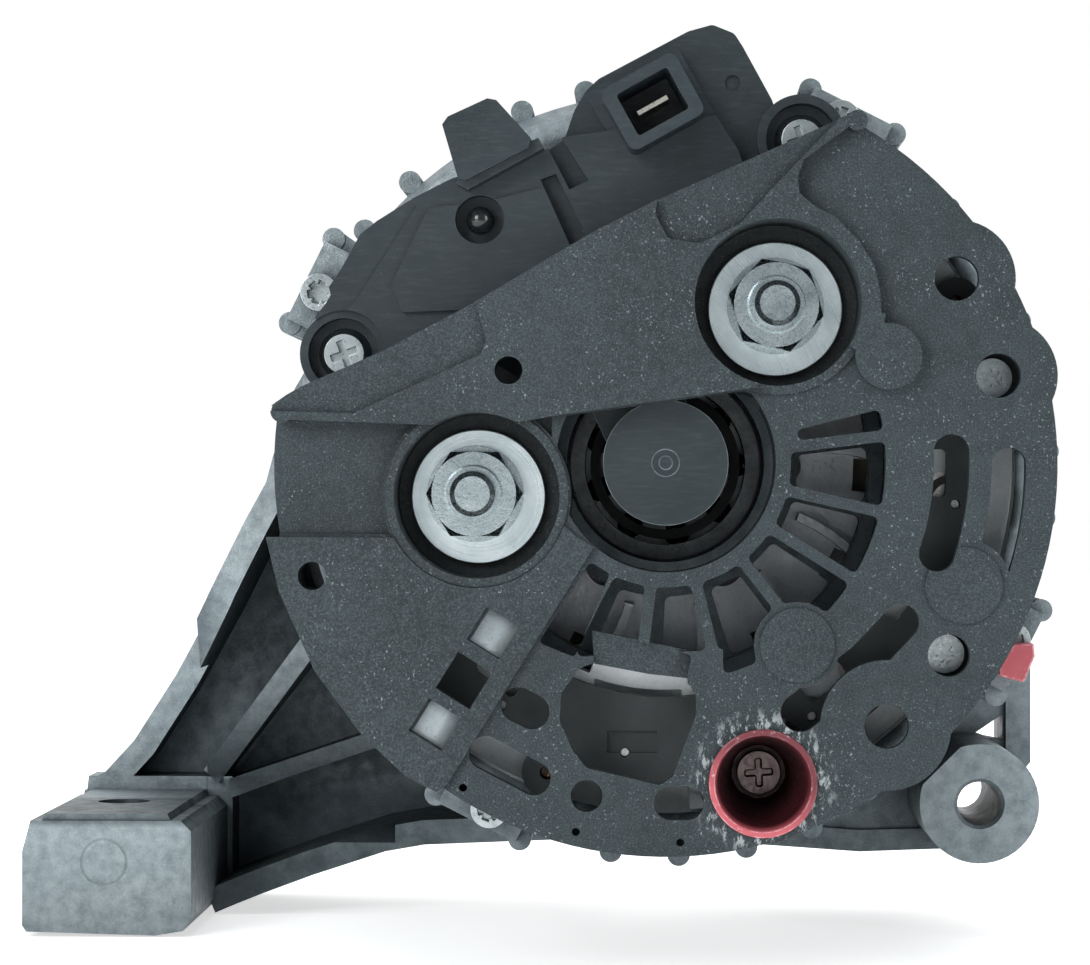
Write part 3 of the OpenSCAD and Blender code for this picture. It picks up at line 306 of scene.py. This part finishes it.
def copper_wire(name, radial=True):
    """Enamelled winding: strands side by side, amber over copper."""
    m = Mat(name)
    x, y, z = m.split()
    ang = m.math("MULTIPLY", m.math("ARCTAN2", z, x), 60.0)
    rad = m.math("SQRT", m.math("ADD", m.math("MULTIPLY", x, x), m.math("MULTIPLY", z, z)))
    v = m.n("ShaderNodeCombineXYZ")
    if radial:
        m.put(v.inputs[0], m.math("MULTIPLY", ang, 0.42))
        m.put(v.inputs[1], m.math("MULTIPLY", y, 0.25))
    else:
        m.put(v.inputs[0], m.math("MULTIPLY", y, 1.0))
    m.put(v.inputs[2], m.math("MULTIPLY", rad, 0.1))
    w = m.n("ShaderNodeTexWave", wave_type="BANDS", bands_direction="X", wave_profile="SIN")
    m.nt.links.new(v.outputs[0], w.inputs["Vector"])
    w.inputs["Scale"].default_value = 0.32
    w.inputs["Distortion"].default_value = 1.6
    w.inputs["Detail"].default_value = 2
    col = m.mix(m.noise(0.12, 4), (0.36, 0.12, 0.035), (0.62, 0.26, 0.09))
    col = m.mix(m.ramp(w.outputs["Fac"], 0.0, 0.5, 0.85, 0.0), col, (0.05, 0.02, 0.01))
    return m.set(col, m.ramp(w.outputs["Fac"], 0, 1, 0.45, 0.25), 0.6, m.bump(w.outputs["Fac"], 0.0006, 0.8), coat=0.4, coat_rough=0.2)


def laminations(name):
    m = Mat(name)
    x, y, z = m.split()
    v = m.n("ShaderNodeCombineXYZ")
    m.put(v.inputs[0], y)
    w = m.n("ShaderNodeTexWave", wave_type="BANDS", bands_direction="X", wave_profile="SIN")
    m.nt.links.new(v.outputs[0], w.inputs["Vector"])
    w.inputs["Scale"].default_value = 0.62
    w.inputs["Distortion"].default_value = 0.4
    col = m.mix(m.noise(0.1, 4), (0.20, 0.21, 0.22), (0.34, 0.35, 0.36))
    col = m.mix(m.ramp(w.outputs["Fac"], 0, 0.5, 0.7, 0), col, (0.05, 0.05, 0.055))
    rust = m.ramp(m.noise(0.22, 5, 0.7), 0.6, 0.75, 0, 0.4)
    col = m.mix(rust, col, (0.22, 0.12, 0.07))
    return m.set(col, m.ramp(w.outputs["Fac"], 0, 1, 0.6, 0.38), 0.8, m.bump(w.outputs["Fac"], 0.0002, 0.6))


def red_plastic(name, edge=0.0, cup=True):
    m = Mat(name)
    x, y, z = m.split()
    col = m.mix(m.noise(0.3, 4), (0.44, 0.075, 0.095), (0.56, 0.13, 0.155))
    if cup:
        # painted shade on the upper right of the rim, and painted shade darker further into the sleeve
        side = m.math("ADD", m.math("MULTIPLY", m.math("SUBTRACT", x, 17.0), 0.55), m.math("ADD", z, 56.2))
        col = m.mix(m.ramp(side, -6.0, 4.0, 0.0, 0.88), col, (0.10, 0.018, 0.026))
        deep = m.ramp(y, -166.0, -162.0)
        col = m.mix(deep, col, (0.050, 0.007, 0.011))
    scuff = m.ramp(m.noise(0.9, 5, 0.7), 0.60, 0.72, 0, 0.6)
    if cup:
        scuff = m.math("MULTIPLY", scuff, m.ramp(y, -166.4, -164.5, 1.0, 0.0))
    col = m.mix(scuff, col, (0.80, 0.66, 0.67))
    if edge:
        # pale edges: wear, and on the sleeve rim a painted highlight kept to the lower left away from the painted
        # shade
        pale_rim_mask = m.ramp(m.noise(0.5, 5, 0.7), 0.44, 0.62, 0.0, edge)
        if cup:
            pale_rim_mask = m.math("MULTIPLY", pale_rim_mask, m.ramp(side, -6.0, 6.0, 1.0, 0.25))
        col = m.mix(pale_rim_mask, col, (0.74, 0.40, 0.43))
    return m.set(col, m.ramp(m.noise(0.7, 3), 0.3, 0.7, 0.35, 0.55), 0.0, m.bump(m.noise(2.2, 3), 0.00008, 0.5), spec=0.4)


def dull(name, a, b, rough=(0.5, 0.7), metal=0.0, grain=2.0, bump=0.0001, spec=0.4):
    m = Mat(name)
    col = m.mix(m.ramp(m.noise(0.12, 4), 0.3, 0.7), a, b)
    g = m.noise(grain, 3, 0.6)
    col = m.mix(m.ramp(g, 0.55, 0.8, 0, 0.3), col, tuple(min(1, 1.7 * c + 0.02) for c in b))
    return m.set(col, m.ramp(g, 0.3, 0.7, *rough), metal, m.bump(g, bump, 0.5), spec=spec)


M = {
    "cover": (cover_plastic("cover_plastic"), cover_plastic("cover_plastic_edge", 0.75)),
    "smooth": (smooth_plastic("regulator_plastic"), smooth_plastic("regulator_plastic_edge", 0.55)),
    "cast": (cast_metal("cast_aluminium"), cast_metal("cast_aluminium_edge", 0.8)),
    "zinc": bright_metal("zinc_steel", (0.34, 0.38, 0.39), (0.52, 0.57, 0.58), (0.24, 0.42), tarnish=0.5),
    "nut": bright_metal("nut_zinc", (0.34, 0.40, 0.42), (0.54, 0.61, 0.63), (0.18, 0.34), tarnish=0.5),
    "washer": ring_metal("washer_zinc", (-33.4, -6.0), (0.56, 0.65, 0.68), (0.76, 0.83, 0.85)),
    "shaft": bright_metal("shaft_steel", (0.46, 0.48, 0.50), (0.66, 0.68, 0.70), (0.22, 0.4), scratch=(0.3, 3, 0.3)),
    "pole": dull("pole_steel", (0.12, 0.125, 0.13), (0.24, 0.25, 0.26), (0.42, 0.62), 0.8, 1.4, 0.00016),
    "bobbin": dull("bobbin_plastic", (0.62, 0.58, 0.46), (0.74, 0.70, 0.58)),
    "fan": bright_metal("fan_steel", (0.36, 0.38, 0.40), (0.52, 0.54, 0.56), (0.3, 0.48), tarnish=0.4),
    "copper_ring": bright_metal("slip_ring_copper", (0.60, 0.28, 0.13), (0.78, 0.42, 0.22), (0.18, 0.32), tarnish_col=(0.2, 0.09, 0.05), scratch=(0.2, 6, 0.2)),
    "ring_ins": dull("ring_insulation", (0.03, 0.028, 0.026), (0.05, 0.046, 0.042)),
    "bearing": bright_metal("bearing_steel", (0.56, 0.58, 0.60), (0.74, 0.76, 0.78), (0.12, 0.24), tarnish=0.2),
    "cage": dull("cage_plastic", (0.012, 0.013, 0.014), (0.024, 0.025, 0.027)),
    "sleeve_b": dull("sleeve_plastic", (0.018, 0.019, 0.02), (0.032, 0.034, 0.036)),
    "plate": bright_metal("plate_steel", (0.40, 0.42, 0.44), (0.56, 0.58, 0.60), (0.3, 0.45)),
    "pulley": bright_metal("pulley_steel", (0.045, 0.05, 0.055), (0.10, 0.11, 0.12), (0.3, 0.5), metal=0.85, tarnish=0.5, tarnish_col=(0.25, 0.26, 0.27), scratch=(0.3, 4, 0.3)),
    "tin": bright_metal("tab_tin", (0.56, 0.65, 0.69), (0.76, 0.84, 0.87), (0.30, 0.46), tarnish=0.35, metal=0.7),
    "terminal": bright_metal("terminal_tin", (0.60, 0.58, 0.50), (0.78, 0.76, 0.68), (0.25, 0.4)),
    "carbon": dull("brush_carbon", (0.035, 0.03, 0.03), (0.07, 0.055, 0.05), (0.3, 0.5), 0.5),
    "spring": bright_metal("spring_steel", (0.5, 0.52, 0.54), (0.7, 0.72, 0.74), (0.2, 0.32)),
    "sink": bright_metal("heat_sink_aluminium", (0.74, 0.80, 0.82), (0.90, 0.94, 0.95), (0.42, 0.58), tarnish=0.2, metal=0.6),
    # painted shade: the rear bearing's outer race, deep in the central opening, gets a near-black colour
    "race_dark": bright_metal("shade_darkened_race", (0.055, 0.060, 0.064), (0.12, 0.13, 0.136), (0.26, 0.42), metal=0.8, tarnish=0.5, tarnish_col=(0.03, 0.022, 0.018)),
    "diode": bright_metal("diode_nickel", (0.46, 0.46, 0.44), (0.62, 0.62, 0.60), (0.25, 0.4)),
    "insul": dull("insulator_plastic", (0.028, 0.034, 0.036), (0.048, 0.058, 0.061), (0.4, 0.6), grain=3.0),
    "copper_wire": copper_wire("enamelled_copper"),
    "copper_coil": copper_wire("field_copper", False),
    "lam": laminations("steel_laminations"),
    "red": (red_plastic("red_sleeve"), red_plastic("red_sleeve_edge", 0.6)),
    "tab": (red_plastic("red_tab", 0.0, False), red_plastic("red_tab_edge", 0.7, False)),
    "plug": dull("plug_plastic", (0.010, 0.012, 0.013), (0.018, 0.021, 0.023), (0.12, 0.22), grain=1.0, bump=0.00003, spec=0.6),
    "dark_screw": bright_metal("dark_screw", (0.10, 0.07, 0.07), (0.2, 0.16, 0.16), (0.28, 0.45), tarnish_col=(0.02, 0.02, 0.02)),
}

LOOK = {
    "front_frame": "cast", "rear_frame": "cast", "stator_core": "lam", "stator_winding": "copper_wire",
    "stator_leads": "copper_wire", "through_bolts": "zinc", "rotor_shaft": "shaft", "claw_pole_front": "pole",
    "claw_pole_rear": "pole", "field_coil": "copper_coil", "coil_bobbin": "bobbin", "front_fan": "fan", "rear_fan": "fan",
    "slip_ring_inner": "copper_ring", "slip_ring_outer": "copper_ring", "slip_ring_insulator": "ring_ins",
    "front_bearing_outer_race": "bearing", "front_bearing_inner_race": "bearing", "front_bearing_balls": "bearing",
    "front_bearing_cage": "cage", "rear_bearing_outer_race": "race_dark", "rear_bearing_inner_race": "bearing",
    "rear_bearing_balls": "bearing", "rear_bearing_cage": "cage", "rear_bearing_sleeve": "sleeve_b",
    "bearing_retainer_plate": "plate", "retainer_screws": "zinc", "shaft_spacer": "shaft", "pulley": "pulley",
    "pulley_nut": "zinc", "rear_cover": "cover", "regulator_body": "smooth", "brush_holder": "smooth",
    "regulator_terminal": "terminal", "regulator_screws": "zinc", "regulator_plug": "plug", "brush_inner": "carbon",
    "brush_outer": "carbon", "brush_spring_inner": "spring", "brush_spring_outer": "spring", "positive_heat_sink": "sink",
    "negative_heat_sink": "sink", "positive_diodes": "diode", "negative_diodes": "diode", "rectifier_insulator": "insul",
    "rectifier_terminal_frame": "insul", "rectifier_screws": "zinc", "b_plus_stud_left": "nut", "b_plus_stud_right": "nut",
    "b_plus_nuts": "nut", "b_plus_washers": "washer", "screw_sleeve": "red", "sleeve_screw": "dark_screw",
    "insulator_tab": "tab", "cable_clip": "smooth",
}


def body_of(node):
    return nodes[node]["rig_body"]


# ------------------------------------------------- pieces built over CAD nodes
def clean_bmesh(node):
    bm = bmesh.new()
    bm.from_mesh(nodes[node].data)
    bmesh.ops.remove_doubles(bm, verts=bm.verts, dist=4e-6)
    bmesh.ops.dissolve_degenerate(bm, edges=bm.edges, dist=2e-6)
    bmesh.ops.dissolve_limit(bm, angle_limit=math.radians(0.6), verts=bm.verts, edges=bm.edges,
                             use_dissolve_boundaries=False)
    return bm


def detailed(node, width, look, segs=2, angle=32, name=None):
    """A finer copy of a node: welded, flat faces joined, every sharp edge rounded with its own edge material (on the
    cover, casting and sleeve looks a pale edge that is partly wear, partly painted highlight).
    """
    bm = clean_bmesh(node)
    me = bpy.data.meshes.new(name or node + "_piece")
    bm.to_mesh(me)
    bm.free()
    o = bpy.data.objects.new(name or node + "_piece", me)
    bpy.context.scene.collection.objects.link(o)
    base, pale_rim_mask = look if isinstance(look, tuple) else (look, look)
    me.materials.append(base)
    me.materials.append(pale_rim_mask)
    bv = o.modifiers.new("round", "BEVEL")
    bv.width = width * MM
    bv.segments = segs
    bv.limit_method = "ANGLE"
    bv.angle_limit = math.radians(angle)
    bv.use_clamp_overlap = True
    bv.material = 1
    bv.harden_normals = False
    bv.miter_outer = "MITER_ARC"
    deps = bpy.context.evaluated_depsgraph_get()
    ev = o.evaluated_get(deps)
    done = bpy.data.meshes.new_from_object(ev)
    o.modifiers.clear()
    old = o.data
    o.data = done
    bpy.data.meshes.remove(old)
    done.name = o.name
    smooth(o, 35)
    wn = o.modifiers.new("flat", "WEIGHTED_NORMAL")
    wn.keep_sharp = True
    wn.weight = 100
    deps = bpy.context.evaluated_depsgraph_get()
    flat = bpy.data.meshes.new_from_object(o.evaluated_get(deps))
    o.modifiers.clear()
    o.data = flat
    bpy.data.meshes.remove(done)
    flat.name = o.name
    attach(o, body_of(node))
    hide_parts(node)
    return o


def smooth(o, deg):
    me = o.data
    for p in me.polygons:
        p.use_smooth = True
    bm = bmesh.new()
    bm.from_mesh(me)
    lim = math.radians(deg)
    for e in bm.edges:
        if len(e.link_faces) == 2:
            e.smooth = e.calc_face_angle(0) < lim
        else:
            e.smooth = False
    bm.to_mesh(me)
    bm.free()


for n, o in nodes.items():
    look = M[LOOK[n]]
    m = look[0] if isinstance(look, tuple) else look
    o.data.materials.clear()
    o.data.materials.append(m)

BEVELS = {
    "front_frame": (0.7, 2), "rear_frame": (0.6, 2), "rear_cover": (0.35, 2), "regulator_body": (0.3, 2),
    "cable_clip": (0.5, 3), "brush_holder": (0.3, 2), "screw_sleeve": (0.25, 2), "through_bolts": (0.25, 2),
    "b_plus_nuts": (0.35, 2), "b_plus_washers": (0.25, 2), "insulator_tab": (0.4, 2),
    "rectifier_terminal_frame": (0.25, 2), "positive_heat_sink": (0.25, 1), "pulley": (0.2, 1),
    "pulley_nut": (0.3, 2), "sleeve_screw": (0.2, 1), "regulator_screws": (0.2, 2),
}
for n, (w, s) in BEVELS.items():
    detailed(n, w, M[LOOK[n]], s)

def clip_tab(name, centre, turn, tilt):
    """A folded metal tab that shows behind a clip window of the cover: a plate with a turned-down lip."""
    w, t = 4.3, 0.35
    prof = [(-w, 2.2), (-w + 0.4, 0.6), (-w + 1.4, 0.0), (w - 1.2, 0.0), (w - 0.3, 0.5), (w, 1.8)]
    bm = bmesh.new()
    rows = []
    for u, d in prof:
        rows.append([bm.verts.new((u * MM, d * MM, v * MM)) for v in (-w, -w * 0.35, w * 0.35, w)])
    for a, b in zip(rows, rows[1:]):
        for i in range(3):
            bm.faces.new((a[i], a[i + 1], b[i + 1], b[i]))
    bmesh.ops.recalc_face_normals(bm, faces=bm.faces)
    me = bpy.data.meshes.new(name)
    bm.to_mesh(me)
    bm.free()
    o = bpy.data.objects.new(name, me)
    bpy.context.scene.collection.objects.link(o)
    th = o.modifiers.new("gauge", "SOLIDIFY")
    th.thickness = t * MM
    bv = o.modifiers.new("round", "BEVEL")
    bv.width = 0.12 * MM
    bv.segments = 2
    bv.limit_method = "ANGLE"
    deps = bpy.context.evaluated_depsgraph_get()
    done = bpy.data.meshes.new_from_object(o.evaluated_get(deps))
    o.modifiers.clear()
    o.data = done
    bpy.data.meshes.remove(me)
    done.name = name
    spin = Matrix.Rotation(math.radians(-turn), 4, "Y") @ Matrix.Rotation(math.radians(tilt), 4, "X")
    done.transform(Matrix.Translation(Vector((centre[0], -160.9, centre[1])) * MM) @ spin)
    done.materials.clear()
    done.materials.append(M["tin"])
    smooth(o, 35)
    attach(o, body_of("rear_cover"))


clip_tab("clip_tab_upper", (-30.3, -29.9), -32, -7)
clip_tab("clip_tab_lower", (-40.5, -45.9), -32, -5)

# ------------------------------------------------------------------- the set
def stage_floor():
    lo = Vector(cad_box[0])
    z = lo.z - 0.0003
    bm = bmesh.new()
    bmesh.ops.create_grid(bm, x_segments=8, y_segments=8, size=3.0)
    me = bpy.data.meshes.new("floor")
    bm.to_mesh(me)
    bm.free()
    o = bpy.data.objects.new("floor", me)
    o.location = (0, 0, z)
    bpy.context.scene.collection.objects.link(o)
    m = Mat("floor_pale")
    c = m.mix(m.noise(0.01, 2), (0.86, 0.87, 0.87), (0.89, 0.90, 0.90))
    m.set(c, 0.75, 0.0, spec=0.2)
    m.put(m.b.inputs["Emission Color"], (1, 1, 1, 1))
    m.b.inputs["Emission Strength"].default_value = 0.60
    me.materials.append(m.m)


stage_floor()

world = bpy.data.worlds.new("studio")
bpy.context.scene.world = world
world.use_nodes = True
wt = world.node_tree
bg = wt.nodes["Background"]
bg.inputs[1].default_value = 1.0
# bright behind the machine, softer in front of it
wc = wt.nodes.new("ShaderNodeTexCoord")
ws = wt.nodes.new("ShaderNodeSeparateXYZ")
wt.links.new(wc.outputs["Generated"], ws.inputs[0])
wm = wt.nodes.new("ShaderNodeMapRange")
wm.interpolation_type = "SMOOTHSTEP"
wm.inputs["From Min"].default_value = -0.15
wm.inputs["From Max"].default_value = 0.75
wt.links.new(ws.outputs[1], wm.inputs["Value"])
wx = wt.nodes.new("ShaderNodeMix")
wx.data_type = "RGBA"
wx.inputs[6].default_value = (0.29, 0.315, 0.33, 1)
wx.inputs[7].default_value = (1.0, 1.0, 1.0, 1)
wt.links.new(wm.outputs[0], wx.inputs["Factor"])
wt.links.new(wx.outputs[2], bg.inputs[0])


def area(name, loc, target, size, power, color=(1, 1, 1)):
    d = bpy.data.lights.new(name, "AREA")
    d.shape = "RECTANGLE"
    d.size, d.size_y = size
    d.energy = power
    d.color = color
    o = bpy.data.objects.new(name, d)
    o.location = loc
    v = Vector(target) - Vector(loc)
    o.rotation_euler = v.to_track_quat("-Z", "Y").to_euler()
    bpy.context.scene.collection.objects.link(o)


mid = (-0.02, -0.12, -0.01)
area("key", (-0.55, -0.95, 0.42), mid, (0.42, 0.5), 5.2)
area("fill", (0.75, -0.75, 0.30), mid, (0.3, 0.6), 2.6)
area("top", (0.05, -0.25, 0.95), mid, (0.9, 0.25), 3.2)
area("low", (-0.5, -0.9, -0.03), mid, (0.5, 0.1), 0.5)
area("back", (0.3, 0.8, 0.5), mid, (0.6, 0.6), 3)

cam = bpy.data.cameras.new("camera")
cam.sensor_width = 36
cam.lens = 116.7
cam.clip_start = 0.01
camo = bpy.data.objects.new("camera", cam)
camo.location = (-0.0028, -0.785, -0.0066)
v = Vector((-0.0212, -0.165, -0.0035)) - Vector(camo.location)
camo.rotation_euler = v.to_track_quat("-Z", "Y").to_euler()
bpy.context.scene.collection.objects.link(camo)
bpy.context.scene.camera = camo
bpy.context.scene.view_settings.view_transform = "Standard"
bpy.context.scene.view_settings.look = "None"
